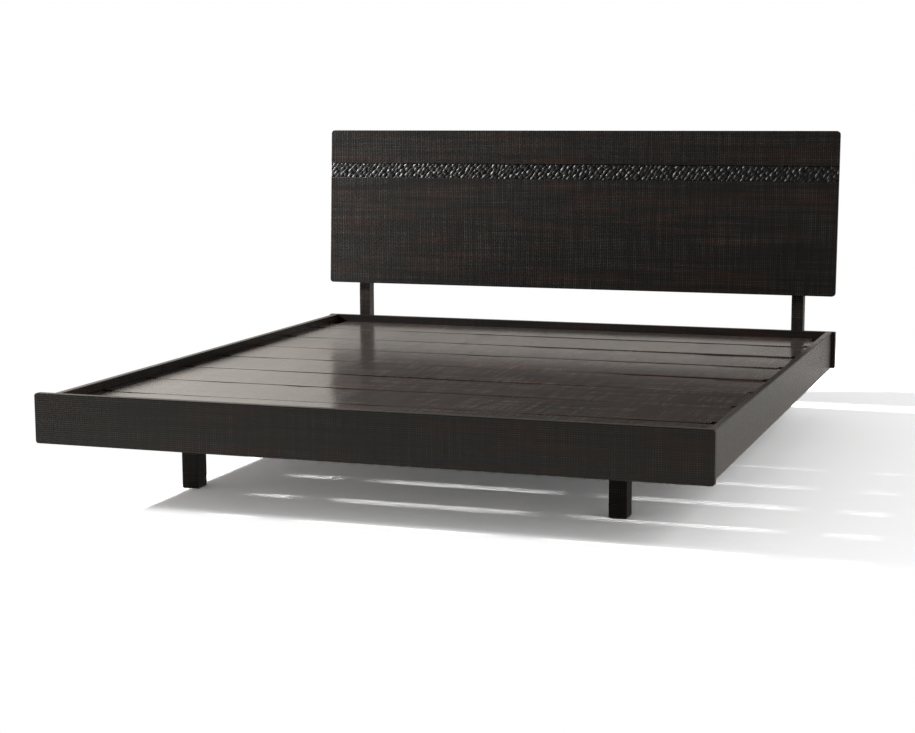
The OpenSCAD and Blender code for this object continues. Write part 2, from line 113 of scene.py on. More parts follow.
def brushed_stain(
    name, length_axis, roughness=0.34, tone=1.0, rib=1.0, depth=1.0, gloss_range=0.10,
    shine=1.36, brown=1.0, gloss_on_lines=False, plank_pitch=None, plank_start=0.0,
):
    """Dark stained wood with ribs across its length and finer lines along it, lighter where they cross, partly as
    rubbed wear and partly as painted highlight, and darker in the valleys as painted shade.

    tone scales the colour, rib the ribs' height, depth the relief and brown the brown blotches.
    The tone given to each piece of this one stain paints light and shade: high on the deck as painted light, low on
    the legs as painted shade.
    shine is the lacquer's index. It is as smooth as roughness on the weave's crests, or on the
    lines alone, and rougher by gloss_range in the valleys. Planks of a pitch differ in their grain.
    """
    material, add = new_material(name)

    def math_node(operation, a, b=0.0, c=None):
        inputs = {0: a, 1: b}
        if c is not None:
            inputs[2] = c
        return add("ShaderNodeMath", inputs, operation=operation).outputs[0]

    place = add("ShaderNodeTexCoord").outputs["Object"]
    axes = add("ShaderNodeSeparateXYZ", {"Vector": place}).outputs
    along = axes[length_axis]
    others = [axes[a] for a in "XYZ" if a != length_axis]
    across = math_node("ADD", others[0], others[1])
    if plank_pitch:
        from_start = math_node("SUBTRACT", axes["Y"], plank_start)
        plank = math_node("FLOOR", math_node("DIVIDE", from_start, plank_pitch))
        plank_shift = add("ShaderNodeTexWhiteNoise", {"W": plank}, noise_dimensions="1D").outputs["Value"]
        along = math_node("MULTIPLY_ADD", plank_shift, 7.3, along)
    weave_place = add("ShaderNodeCombineXYZ", {"X": along, "Y": across}).outputs[0]

    def stretched_noise(length, width, detail, seed):
        scaled = add(
            "ShaderNodeVectorMath",
            {0: weave_place, 1: (1.0 / length, 1.0 / width, 1.0)},
            operation="MULTIPLY",
        ).outputs[0]
        moved = add("ShaderNodeVectorMath", {0: scaled, 1: (seed, seed * 1.7, seed)}, operation="ADD").outputs[0]
        return add(
            "ShaderNodeTexNoise", {"Vector": moved, "Scale": 1.0, "Detail": detail, "Roughness": 0.55}
        ).outputs["Fac"]

    def wave(pitch, direction):
        return add(
            "ShaderNodeTexWave",
            {"Vector": weave_place, "Scale": 0.314159 / pitch, "Distortion": 0.7,
             "Detail": 1.0, "Detail Scale": 0.35, "Detail Roughness": 0.5},
            wave_type="BANDS",
            bands_direction=direction,
            wave_profile="SIN",
        ).outputs["Fac"]

    rib_pitch = 0.0068
    line_pitch = 0.0057
    ribs = wave(rib_pitch, "X")
    lines = wave(line_pitch, "Y")
    rib_strength = ramp(add, stretched_noise(0.012, 0.22, 1.0, 3.1), [(0.30, 0.45 * rib), (0.70, rib)])
    line_strength = ramp(add, stretched_noise(0.30, 0.011, 1.0, 9.4), [(0.30, 0.45), (0.70, 1.0)])
    rib_height = math_node("MULTIPLY", ribs, rib_strength)
    line_height = math_node("MULTIPLY", lines, line_strength)
    crossing = math_node("MULTIPLY", rib_height, line_height)
    crests = math_node("MULTIPLY", crossing, 0.4)
    weave = math_node("MULTIPLY_ADD", math_node("ADD", rib_height, line_height), 0.3, crests)

    streak = ramp(add, stretched_noise(0.20, 0.022, 3.0, 5.5), [(0.46, 0.0), (0.66, 1.0)])
    cloud = stretched_noise(0.35, 0.16, 2.0, 1.2)
    blotch = math_node("MULTIPLY", streak, ramp(add, cloud, [(0.38, 0.15), (0.62, 1.0)]))

    def mixed(factor, a, b, blend_type="MIX"):
        return add(
            "ShaderNodeMix", {"Factor": factor, "A": a, "B": b}, data_type="RGBA", blend_type=blend_type
        ).outputs["Result"]

    def toned(red, green, blue):
        return (red * tone, green * tone, blue * tone, 1.0)

    charcoal = mixed(cloud, toned(0.0170, 0.0165, 0.0160), toned(0.0300, 0.0265, 0.0240))
    browned = mixed(math_node("MULTIPLY", blotch, brown), charcoal, toned(0.062, 0.0260, 0.0170))
    # Lighter where ribs and lines cross: partly rubbed wear, partly painted highlight glints on the crests.
    rubbed = mixed(ramp(add, crossing, [(0.35, 0.0), (0.90, 1.0)]), browned, toned(0.190, 0.165, 0.145))
    # Darker in the weave's valleys: painted shade in the grooves.
    colour = mixed(1.0, rubbed, ramp(add, weave, [(0.05, 0.40), (0.50, 1.0)]), "MULTIPLY")

    pores = stretched_noise(0.020, 0.0011, 2.0, 7.7)
    height = math_node("MULTIPLY_ADD", pores, 0.25, weave)
    bump = add("ShaderNodeBump", {"Strength": 0.6 * depth, "Distance": 0.0006, "Height": height}).outputs["Normal"]
    relief = lines if gloss_on_lines else weave
    gloss = ramp(add, relief, [(0.02, roughness + gloss_range), (0.50, roughness)])
    surface = add(
        "ShaderNodeBsdfPrincipled",
        {"Base Color": colour, "Roughness": gloss, "IOR": shine,
         "Specular Tint": (1.0, 0.96, 0.91, 1.0), "Normal": bump},
    )
    add("ShaderNodeOutputMaterial", {"Surface": surface.outputs[0]})
    return material


def round_corners(low_x, high_x, low_z, high_z, radius, steps=8):
    """Outline of an upright plank, counter-clockwise, with its four corners rounded."""
    centres = [
        (high_x - radius, high_z - radius, 0),
        (low_x + radius, high_z - radius, 1),
        (low_x + radius, low_z + radius, 2),
        (high_x - radius, low_z + radius, 3),
    ]
    outline = []
    for x, z, quarter in centres:
        for i in range(steps + 1):
            angle = (quarter + i / steps) * math.pi / 2
            outline.append((x + radius * math.cos(angle), z + radius * math.sin(angle)))
    return outline


def settle(piece):
    """Bakes a piece's modifiers into a plain mesh and takes them off."""
    bpy.context.view_layer.update()
    evaluated = piece.evaluated_get(bpy.context.evaluated_depsgraph_get())
    mesh = bpy.data.meshes.new_from_object(evaluated)
    mesh.name = piece.name
    piece.modifiers.clear()
    piece.data = mesh
    return piece


def ease_arris(piece, radius):
    """Rounds every sharp arris, as sandpaper does."""
    for polygon in piece.data.polygons:
        polygon.use_smooth = True
    bevel = piece.modifiers.new("arris", "BEVEL")
    bevel.width = radius
    bevel.segments = 3
    bevel.limit_method = "ANGLE"
    bevel.angle_limit = math.radians(35)
    bevel.harden_normals = True
    return piece


def new_piece(name, mesh, finish):
    piece = bpy.data.objects.new(name, mesh)
    bpy.context.scene.collection.objects.link(piece)
    mesh.materials.clear()
    mesh.materials.append(finish)
    return piece


def sawn(name, outline, thickness_axis, start, end, finish, arris=0.0013):
    """A board sawn to an outline, as thick as from start to end."""
    order = {"X": (2, 0, 1), "Y": (0, 2, 1), "Z": (0, 1, 2)}[thickness_axis]

    def point(a, b, t):
        return tuple((a, b, t)[i] for i in order)

    body = bmesh.new()
    near = [body.verts.new(point(a, b, start)) for a, b in outline]
    far = [body.verts.new(point(a, b, end)) for a, b in outline]
    body.faces.new(near)
    body.faces.new(list(reversed(far)))
    count = len(outline)
    for i in range(count):
        j = (i + 1) % count
        body.faces.new((near[j], near[i], far[i], far[j]))
    bmesh.ops.recalc_face_normals(body, faces=body.faces)
    mesh = bpy.data.meshes.new(name)
    body.to_mesh(mesh)
    body.free()
    return settle(ease_arris(new_piece(name, mesh, finish), arris))


def fit(piece, body, slot, *nodes):
    """Puts a finished piece on its body, in place of the CAD nodes that it stands for."""
    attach(piece, body)
    if nodes:
        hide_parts(*nodes)


def dress(node, finish):
    """Gives a CAD node that stays its finish."""
    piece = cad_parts[node]
    piece.data.materials.clear()
    piece.data.materials.append(finish)


foot_corner = 0.008
cross_stain = brushed_stain(
    "stain_cross_planks", "X", roughness=0.34, tone=0.78, rib=0.8, depth=1.8, shine=1.42, brown=1.1,
)
low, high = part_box("foot_board")
foot_board = sawn(
    "foot_board_plank",
    round_corners(low.x, high.x, low.z, high.z, foot_corner),
    "Y", low.y, high.y, cross_stain,
)
fit(foot_board, "frame", "dark_wood", "foot_board")

# Head rail
# The same plank at the head end, level with the side rails. The posts
# of the headboard are bolted to its back.
head_corner = 0.003
low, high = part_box("head_rail")
head_rail = sawn(
    "head_rail_plank",
    round_corners(low.x, high.x, low.z, high.z, head_corner),
    "Y", low.y, high.y, cross_stain,
)
fit(head_rail, "frame", "dark_wood", "head_rail")


# Side rails
# Two long upright planks between foot board and head rail, set in a
# little from their ends, with the same brushed and stained finish.
def rectangle(low_a, high_a, low_b, high_b):
    return [(high_a, high_b), (low_a, high_b), (low_a, low_b), (high_a, low_b)]


rail_stain = brushed_stain(
    "stain_side_rails", "Y", roughness=0.24, tone=1.6, rib=0.7, depth=1.8, gloss_range=0.42, shine=1.68,
    gloss_on_lines=True,
)
rail_arris = 0.002
for side in ("left", "right"):
    low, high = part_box(f"{side}_side_rail")
    rail = sawn(
        f"{side}_side_rail_plank",
        rectangle(low.y, high.y, low.z, high.z),
        "X", low.x, high.x, rail_stain, arris=rail_arris,
    )
    fit(rail, "frame", "dark_wood", f"{side}_side_rail")


# Corner fittings
# Bolts at the head and studs in threaded inserts at the foot pull each
# side rail's ends tight through brass barrel nuts; a beech dowel between
# them keeps the rail upright. Steel is zinc plated, brass is turned.
def metal(name, colour, roughness):
    """Metal that is a little stained and finely scratched."""
    material, add = new_material(name)
    place = add("ShaderNodeTexCoord").outputs["Object"]
    stain = add("ShaderNodeTexNoise", {"Vector": place, "Scale": 90.0, "Detail": 4.0}).outputs["Fac"]
    dark = tuple(c * 0.78 for c in colour)
    tone = add(
        "ShaderNodeMix", {"Factor": stain, "A": (*dark, 1), "B": (*colour, 1)}, data_type="RGBA"
    ).outputs["Result"]
    scratch = add("ShaderNodeTexNoise", {"Vector": place, "Scale": 1400.0, "Detail": 2.0}).outputs["Fac"]
    gloss = ramp(add, stain, [(0.3, roughness - 0.06), (0.7, roughness + 0.10)])
    bump = add("ShaderNodeBump", {"Strength": 0.06, "Distance": 0.0002, "Height": scratch}).outputs["Normal"]
    surface = add(
        "ShaderNodeBsdfPrincipled",
        {"Base Color": tone, "Metallic": 1.0, "Roughness": gloss, "Normal": bump},
    )
    add("ShaderNodeOutputMaterial", {"Surface": surface.outputs[0]})
    return material


def plain_grain(name, light, dark, length_axis, roughness=0.6):
    """Straight-grained timber that is only planed, with long growth rings and short pores."""
    material, add = new_material(name)
    place = add("ShaderNodeTexCoord").outputs["Object"]
    stretch = tuple(3.0 if a == length_axis else 55.0 for a in "XYZ")
    rings_at = add("ShaderNodeVectorMath", {0: place, 1: stretch}, operation="MULTIPLY").outputs[0]
    rings = add(
        "ShaderNodeTexNoise", {"Vector": rings_at, "Scale": 1.0, "Detail": 4.0, "Distortion": 0.6}
    ).outputs["Fac"]
    stretch = tuple(40.0 if a == length_axis else 900.0 for a in "XYZ")
    pores_at = add("ShaderNodeVectorMath", {0: place, 1: stretch}, operation="MULTIPLY").outputs[0]
    pores = add("ShaderNodeTexNoise", {"Vector": pores_at, "Scale": 1.0, "Detail": 2.0}).outputs["Fac"]
    mixed = add("ShaderNodeMath", {0: pores, 1: 0.35, 2: rings}, operation="MULTIPLY_ADD").outputs[0]
    colour = ramp(add, mixed, [(0.45, light), (0.85, dark)])
    bump = add("ShaderNodeBump", {"Strength": 0.25, "Distance": 0.0004, "Height": mixed}).outputs["Normal"]
    surface = add(
        "ShaderNodeBsdfPrincipled",
        {"Base Color": colour, "Roughness": roughness, "IOR": 1.4, "Normal": bump},
    )
    add("ShaderNodeOutputMaterial", {"Surface": surface.outputs[0]})
    return material


zinc = metal("zinc_plated_steel", (0.56, 0.57, 0.58), 0.32)
turned_brass = metal("turned_brass", (0.80, 0.56, 0.27), 0.24)
beech = plain_grain("beech_dowel", (0.52, 0.37, 0.24), (0.40, 0.26, 0.15), "Y")
for node in ("head_corner_bolts", "foot_corner_studs"):
    dress(node, zinc)
for node in ("foot_inserts", "barrel_nuts"):
    dress(node, turned_brass)
dress("corner_dowels", beech)


# Ledgers
# A square softwood bar screwed along the inside of each side rail. It
# is stained dark like the rest but not brushed, and carries the ends
# of the deck boards.
inner_stain = plain_grain("stained_softwood", (0.050, 0.040, 0.034), (0.024, 0.018, 0.015), "Y")
for side in ("left", "right"):
    low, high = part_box(f"{side}_ledger")
    ledger = sawn(
        f"{side}_ledger_bar",
        rectangle(low.x, high.x, low.z, high.z),
        "Y", low.y, high.y, inner_stain, arris=0.002,
    )
    fit(ledger, "frame", "hidden_wood", f"{side}_ledger")


# Screws
# Pan head screws with a cross recess hold the ledgers to the rails, the
# shoes to the planks and the leg plates to the beams.
def tree_maker(name, sizes):
    """A geometry tree with a mesh input, the named sizes and a material, ready for its nodes."""
    tree = bpy.data.node_groups.new(name, "GeometryNodeTree")
    tree.interface.new_socket("Geometry", in_out="INPUT", socket_type="NodeSocketGeometry")
    tree.interface.new_socket("Geometry", in_out="OUTPUT", socket_type="NodeSocketGeometry")
    for size in sizes:
        tree.interface.new_socket(size, in_out="INPUT", socket_type="NodeSocketFloat")
    tree.interface.new_socket("Finish", in_out="INPUT", socket_type="NodeSocketMaterial")
    add = node_maker(tree)
    given = add("NodeGroupInput").outputs

    def finish(geometry):
        real = add("GeometryNodeRealizeInstances", {"Geometry": geometry}).outputs[0]
        coated = add("GeometryNodeSetMaterial", {"Geometry": real, "Material": given["Finish"]}).outputs[0]
        add("NodeGroupOutput", {"Geometry": coated})
        return tree

    def calc(operation, a, b=0.0):
        return add("ShaderNodeMath", {0: a, 1: b}, operation=operation).outputs[0]

    def xyz(x=0.0, y=0.0, z=0.0):
        return add("ShaderNodeCombineXYZ", {"X": x, "Y": y, "Z": z}).outputs[0]

    return add, given, finish, calc, xyz


def grow(name, tree, finish, points=(), axes=(), arris=0.0, **sizes):
    """Runs a geometry tree on a few points and keeps the result as a plain mesh."""
    mesh = bpy.data.meshes.new(name)
    mesh.from_pydata([tuple(p) for p in points], [], [])
    if axes:
        attribute = mesh.attributes.new("facing", "FLOAT_VECTOR", "POINT")
        attribute.data.foreach_set("vector", [c for axis in axes for c in axis])
    piece = bpy.data.objects.new(name, mesh)
    bpy.context.scene.collection.objects.link(piece)
    modifier = piece.modifiers.new("maker", "NODES")
    modifier.node_group = tree
    for item in tree.interface.items_tree:
        if item.in_out != "INPUT" or item.name == "Geometry":
            continue
        key = item.name.replace(" ", "_").lower()
        modifier[item.identifier] = finish if key == "finish" else float(sizes[key])
    if arris:
        ease_arris(piece, arris)
    settle(piece)
    if not piece.data.materials:
        piece.data.materials.append(finish)
    return piece


def screw_tree():
    add, given, finish, calc, xyz = tree_maker(
        "cross_head_screw", ["Head Width", "Head Height", "Shank Width", "Shank Length"]
    )
    head_r = calc("MULTIPLY", given["Head Width"], 0.5)
    rim = add(
        "GeometryNodeMeshCone",
        {"Vertices": 28, "Radius Bottom": head_r, "Radius Top": calc("MULTIPLY", head_r, 0.72),
         "Depth": given["Head Height"]},
    ).outputs["Mesh"]
    slot_l = calc("MULTIPLY", given["Head Width"], 0.56)
    slot_w = calc("MULTIPLY", given["Head Width"], 0.13)
    slot_h = calc("MULTIPLY", given["Head Height"], 1.2)
    slots = []
    for a, b in ((slot_l, slot_w), (slot_w, slot_l)):
        bar = add("GeometryNodeMeshCube", {"Size": xyz(a, b, slot_h)}).outputs["Mesh"]
        slots.append(add(
            "GeometryNodeTransform",
            {"Geometry": bar, "Translation": xyz(0.0, 0.0, given["Head Height"])},
        ).outputs[0])
    cut = rim
    for slot in slots:
        cut = add("GeometryNodeMeshBoolean", {"Mesh 1": cut, "Mesh 2": slot}, operation="DIFFERENCE").outputs["Mesh"]
    shank = add(
        "GeometryNodeMeshCylinder",
        {"Vertices": 16, "Radius": calc("MULTIPLY", given["Shank Width"], 0.5), "Depth": given["Shank Length"]},
    ).outputs["Mesh"]
    shank = add(
        "GeometryNodeTransform",
        {"Geometry": shank, "Translation": xyz(0.0, 0.0, calc("MULTIPLY", given["Shank Length"], -0.5))},
    ).outputs[0]
    joined = add("GeometryNodeJoinGeometry")
    joined.id_data.links.new(cut, joined.inputs[0])
    joined.id_data.links.new(shank, joined.inputs[0])
    facing = add("GeometryNodeInputNamedAttribute", {"Name": "facing"}, data_type="FLOAT_VECTOR").outputs["Attribute"]
    turned = add("FunctionNodeAlignRotationToVector", {"Vector": facing}, axis="Z").outputs[0]
    placed = add(
        "GeometryNodeInstanceOnPoints",
        {"Points": given["Geometry"], "Instance": joined.outputs[0], "Rotation": turned},
    ).outputs[0]
    return finish(placed)


screws = screw_tree()


def drive_screws(name, node, heads, head_width, head_height, shank_width, shank_length):
    """heads are (middle of the head's top, direction it faces)."""
    points = [Vector(p) - Vector(a) * head_height / 2 for p, a in heads]
    piece = grow(
        name, screws, zinc, points, [a for p, a in heads],
        head_width=head_width, head_height=head_height, shank_width=shank_width, shank_length=shank_length,
    )
    fit(piece, "frame", "steel", node)


ledger_screw_count = 7
heads = []
for side, sign in (("left", -1), ("right", 1)):
    low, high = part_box(f"{side}_ledger")
    rail_low, rail_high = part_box(f"{side}_side_rail")
    pitch = (rail_high.y - rail_low.y) / ledger_screw_count
    inner_x = min(abs(low.x), abs(high.x)) * sign
    for i in range(ledger_screw_count):
        heads.append(((inner_x, rail_low.y + (i + 0.5) * pitch, (low.z + high.z) / 2), (-sign, 0, 0)))
drive_screws(
    "ledger_screws_pan_head", "ledger_screws", heads,
    head_width=0.009, head_height=0.003, shank_width=0.005, shank_length=0.046,
)

# Beams
# Three softwood beams run from foot to head under the deck. Each end
# drops into a folded steel shoe that is screwed to the plank behind it.
beam_boxes = {}
for side in ("left", "centre", "right"):
    low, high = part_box(f"{side}_beam")
    beam_boxes[side] = (low, high)
    beam = sawn(
        f"{side}_beam_bar",
        rectangle(low.x, high.x, low.z, high.z),
        "Y", low.y, high.y, inner_stain, arris=0.003,
    )
    fit(beam, "frame", "hidden_wood", f"{side}_beam")
dress("beam_shoes", zinc)

shoe_low, shoe_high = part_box("beam_shoes")
plate = 0.0025
screw_off_beam = 0.011
screw_off_edge = 0.012
shoe_head_height = 0.002
heads = []
for low, high in beam_boxes.values():
    middle = (low.x + high.x) / 2
    reach = (high.x - low.x) / 2 + plate + screw_off_beam
    for sign in (-1, 1):
        for z in (shoe_low.z + screw_off_edge, shoe_high.z - screw_off_edge):
            heads.append(((middle + sign * reach, shoe_low.y + plate + shoe_head_height, z), (0, 1, 0)))
            heads.append(((middle + sign * reach, shoe_high.y - plate - shoe_head_height, z), (0, -1, 0)))
drive_screws(
    "shoe_screws_pan_head", "shoe_screws", heads,
    head_width=0.008, head_height=shoe_head_height, shank_width=0.004, shank_length=0.0135,
)


# Legs
# Five square legs of the same stained wood, two near each end and one in
# the middle. A stud in the top screws through a steel plate into the
# beam, and a felt pad is glued underneath.
def block_tree():
    add, given, finish, calc, xyz = tree_maker("block_on_points", ["Width", "Depth", "Height"])
    size = xyz(given["Width"], given["Depth"], given["Height"])
    cube = add("GeometryNodeMeshCube", {"Size": size}).outputs["Mesh"]
    placed = add("GeometryNodeInstanceOnPoints", {"Points": given["Geometry"], "Instance": cube}).outputs[0]
    return finish(placed)


blocks_on_points = block_tree()
leg_nodes = ["front_left_leg", "front_right_leg", "rear_left_leg", "rear_right_leg", "centre_leg"]
leg_boxes = [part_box(node) for node in leg_nodes]
leg_size = leg_boxes[0][1] - leg_boxes[0][0]
# The legs' low tone darkens their stain as painted shade under the bed.
leg_stain = brushed_stain("stain_legs", "Z", roughness=0.56, tone=0.5, shine=1.30)
legs = grow(
    "square_legs", blocks_on_points, leg_stain, [(low + high) / 2 for low, high in leg_boxes], arris=0.0016,
    width=leg_size.x, depth=leg_size.y, height=leg_size.z,
)
fit(legs, "frame", "dark_wood", *leg_nodes)


def felt_cloth():
    """Black wool felt with short crossed fibres."""
    material, add = new_material("black_felt")
    place = add("ShaderNodeTexCoord").outputs["Object"]
    fibre = add(
        "ShaderNodeTexNoise", {"Vector": place, "Scale": 900.0, "Detail": 4.0, "Distortion": 2.0}
    ).outputs["Fac"]
    colour = ramp(add, fibre, [(0.35, (0.018, 0.018, 0.019)), (0.7, (0.06, 0.06, 0.062))])
    bump = add("ShaderNodeBump", {"Strength": 0.8, "Distance": 0.0006, "Height": fibre}).outputs["Normal"]
    surface = add(
        "ShaderNodeBsdfPrincipled",
        {"Base Color": colour, "Roughness": 0.95, "Sheen Weight": 0.3, "Normal": bump},
    )
    add("ShaderNodeOutputMaterial", {"Surface": surface.outputs[0]})
    return material


felt = felt_cloth()
pad_thickness = 0.002
pad_margin = 0.0015
pads = grow(
    "felt_pads", blocks_on_points, felt,
    [((low.x + high.x) / 2, (low.y + high.y) / 2, pad_thickness / 2) for low, high in leg_boxes], arris=0.0005,
    width=leg_size.x - 2 * pad_margin, depth=leg_size.y - 2 * pad_margin, height=pad_thickness,
)
fit(pads, "frame", "felt", "leg_pads")
dress("leg_plates", zinc)
dress("leg_studs", zinc)
screw_x = 0.012
screw_y = 0.045
leg_head_height = 0.002
heads = []
for low, high in leg_boxes:
    middle_x, middle_y = (low.x + high.x) / 2, (low.y + high.y) / 2
    for dx in (-screw_x, screw_x):
        for dy in (-screw_y, screw_y):
            heads.append(((middle_x + dx, middle_y + dy, high.z - leg_head_height), (0, 0, -1)))
drive_screws(
    "leg_plate_screws_pan_head", "leg_plate_screws", heads,
    head_width=0.008, head_height=leg_head_height, shank_width=0.004, shank_length=0.0195,
)


# Locating blocks
# Small blocks glued on the ledgers. Each one sits in the notch at a front
# corner of a deck board and keeps the board in its place.
# The blocks are coloured near black as painted shade for the dark notches they sit in.
block_stain = plain_grain(
    "black_locating_blocks", (0.012, 0.012, 0.012), (0.006, 0.006, 0.006), "X", roughness=0.85,
)
block_length = 0.026
block_count = 7
for side in ("left", "right"):
    node = f"{side}_locating_blocks"
    low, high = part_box(node)
    spacing = (high.y - low.y - block_length) / (block_count - 1)
    points = [
        ((low.x + high.x) / 2, low.y + block_length / 2 + i * spacing, (low.z + high.z) / 2)
        for i in range(block_count)
    ]
    blocks = grow(
        f"{side}_glued_blocks", blocks_on_points, block_stain, points, arris=0.001,
        width=high.x - low.x, depth=block_length, height=high.z - low.z,
    )
    fit(blocks, "frame", "dark_wood", node)


# Deck boards
# Eight wide boards lie loose across the bed and lift straight out. Each
# is notched at its front corners for the locating blocks, and the first
# and the last are cut back at the bed's corners to clear the fittings.
def deck_board_tree():
    add, given, finish, calc, xyz = tree_maker(
        "notched_deck_board",
        ["Half Width", "Front", "Back", "Underside", "Thickness", "Notch Side", "Front Cut", "Back Cut",
         "Left Drop", "Middle Drop", "Right Drop"],
    )
    depth = calc("SUBTRACT", given["Back"], given["Front"])
    height = calc("ADD", given["Underside"], calc("MULTIPLY", given["Thickness"], 0.5))
    board = add(
        "GeometryNodeMeshCube",
        {"Size": xyz(calc("MULTIPLY", given["Half Width"], 2.0), depth, given["Thickness"]), "Vertices X": 57},
    ).outputs["Mesh"]
    middle = calc("MULTIPLY", calc("ADD", given["Front"], given["Back"]), 0.5)
    board = add(
        "GeometryNodeTransform",
        {"Geometry": board, "Translation": xyz(0.0, middle, height)},
    ).outputs[0]
    over = 0.01
    cut_width = calc("ADD", calc("SUBTRACT", given["Half Width"], given["Notch Side"]), over)
    cut_x = calc("ADD", given["Notch Side"], calc("MULTIPLY", cut_width, 0.5))
    for cut, edge, sense in ((given["Front Cut"], given["Front"], 1.0), (given["Back Cut"], given["Back"], -1.0)):
        cut_depth = calc("ADD", cut, over)
        cut_y = calc("ADD", edge, calc("MULTIPLY", calc("SUBTRACT", cut_depth, 2 * over), 0.5 * sense))
        for sign in (-1.0, 1.0):
            saw = add(
                "GeometryNodeMeshCube",
                {"Size": xyz(cut_width, cut_depth, calc("MULTIPLY", given["Thickness"], 3.0))},
            ).outputs["Mesh"]
            saw = add(
                "GeometryNodeTransform",
                {"Geometry": saw, "Translation": xyz(calc("MULTIPLY", cut_x, sign), cut_y, height)},
            ).outputs[0]
            board = add(
                "GeometryNodeMeshBoolean", {"Mesh 1": board, "Mesh 2": saw}, operation="DIFFERENCE"
            ).outputs["Mesh"]
    place = add("GeometryNodeInputPosition").outputs[0]
    parts = add("ShaderNodeSeparateXYZ", {"Vector": place}).outputs
    across = calc("DIVIDE", calc("SUBTRACT", parts["Y"], given["Front"]), depth)

    def wind(seed, waves, low, gain, most):
        """Waves along the board, down by the most where they are deepest."""
        place = xyz(calc("MULTIPLY", parts["X"], waves), calc("MULTIPLY", given["Front"], 37.0), seed)
        noise = add("ShaderNodeTexNoise", {"Vector": place, "Scale": 1.0, "Detail": 1.0}).outputs["Fac"]
        share = add("ShaderNodeClamp", {"Value": calc("MULTIPLY", calc("SUBTRACT", noise, low), gain)}).outputs[0]
        return calc("MULTIPLY", share, -most)

    spot = calc("DIVIDE", parts["X"], given["Half Width"])
    square = calc("MULTIPLY", spot, spot)
    at_left = calc("MULTIPLY", calc("MULTIPLY", calc("SUBTRACT", square, spot), 0.5), given["Left Drop"])
    at_right = calc("MULTIPLY", calc("MULTIPLY", calc("ADD", square, spot), 0.5), given["Right Drop"])
    inner = calc("SUBTRACT", 1.0, square)
    at_middle = calc("MULTIPLY", calc("MULTIPLY", inner, inner), given["Middle Drop"])
    drop = calc("MAXIMUM", calc("ADD", calc("ADD", at_left, at_right), at_middle), 0.0)
    front_dip = wind(2.0, 2.4, 0.50, 3.0, 0.0003)
    back_dip = calc("SUBTRACT", wind(8.0, 7.0, 0.45, 4.0, 0.0012), drop)
    dip = calc("ADD", front_dip, calc("MULTIPLY", across, calc("SUBTRACT", back_dip, front_dip)))
    planed = add(
        "GeometryNodeSetPosition",
        {0: board, "Selection": calc("GREATER_THAN", parts["Z"], height), "Offset": xyz(0.0, 0.0, dip)},
    ).outputs[0]
    return finish(planed)


deck_boards = deck_board_tree()
first_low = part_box("deck_board_1")[0]
second_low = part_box("deck_board_2")[0]
board_pitch = second_low.y - first_low.y
# The deck's high tone lightens its stain far past the other pieces' as painted light on the boards' tops.
deck_stain = brushed_stain(
    "stain_deck_boards", "X", roughness=0.08, tone=3.3, depth=0.25, gloss_range=0.16, shine=1.95, brown=0.6,
    plank_pitch=board_pitch, plank_start=first_low.y - 0.002,
)
notch_side = 0.8645
block_notch = 0.025
foot_corner_cut = 0.061
head_corner_cut = 0.067
no_cut = -0.002
# How far each board's back edge has sunk at its left end, middle and right end, in mm
drops_mm = [
    (0.6, -0.6, 2.4), (0.4, 0.9, 0.0), (0.0, 2.4, -0.4), (1.4, -0.6, 5.0),
    (-0.4, 0.9, 2.2), (0.2, 1.7, 4.8), (0.2, 1.9, 2.2), (0.0, 0.2, 0.0),
]
board_count = len(drops_mm)
for i in range(1, board_count + 1):
    low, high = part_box(f"deck_board_{i}")
    left_drop, middle_drop, right_drop = (drop / 1000 for drop in drops_mm[i - 1])
    front_cut = foot_corner_cut if i == 1 else block_notch
    back_cut = head_corner_cut if i == board_count else no_cut
    board = grow(
        f"deck_board_{i}_loose", deck_boards, deck_stain, arris=0.0008,
        half_width=high.x, front=low.y, back=high.y, underside=low.z, thickness=high.z - low.z,
        notch_side=notch_side, front_cut=front_cut, back_cut=back_cut,
        left_drop=left_drop, middle_drop=middle_drop, right_drop=right_drop,
    )
    fit(board, f"board_{i}", "deck_wood", f"deck_board_{i}")

# Posts
# Two square posts bolted to the back of the head rail. Above the rail
# each is sawn to lean back, and the headboard is bolted to its front.
low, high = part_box("left_post")
rail_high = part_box("head_rail")[1]
recline = math.radians(3.4)
post_depth = 0.044
panel_above_rail = 0.120
bend_below_panel = 0.032
bend_z = rail_high.z + panel_above_rail - bend_below_panel
post_lean = (high.z - bend_z) * math.tan(recline)
post_profile = [
    (low.y, low.z), (low.y + post_depth, low.z), (low.y + post_depth, bend_z),
    (low.y + post_depth + post_lean, high.z), (low.y + post_lean, high.z), (low.y, bend_z),
]
post_stain = brushed_stain("stain_posts", "Z", roughness=0.36)
for side in ("left", "right"):
    low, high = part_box(f"{side}_post")
    post = sawn(f"{side}_post_sawn", post_profile, "X", low.x, high.x, post_stain)
    fit(post, "frame", "dark_wood", f"{side}_post")
for node in ("post_bolts", "headboard_bolts"):
    dress(node, zinc)
for node in ("post_inserts", "headboard_inserts"):
    dress(node, turned_brass)

# Headboard panel
# One wide plank panel with round corners, leaning back on the posts,
# with the same crosshatched stain. A groove is routed across its face
# for the carved band.
panel_thickness = 0.020
panel_height = 0.562
groove_bottom = 0.390
groove_top = 0.443
groove_depth = 0.008
panel_corner = 0.012
panel_play = 0.00005
panel_foot = Matrix.Translation(
    (0.0, rail_high.y + bend_below_panel * math.tan(recline) - panel_play, rail_high.z + panel_above_rail)
) @ Matrix.Rotation(-recline, 4, "X")
panel_stain = brushed_stain("stain_headboard", "X", roughness=0.32, tone=0.66, depth=2.4, shine=1.40, brown=0.9)
panel_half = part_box("headboard_panel")[1].x
outline = round_corners(-panel_half, panel_half, 0.0, panel_height, panel_corner)


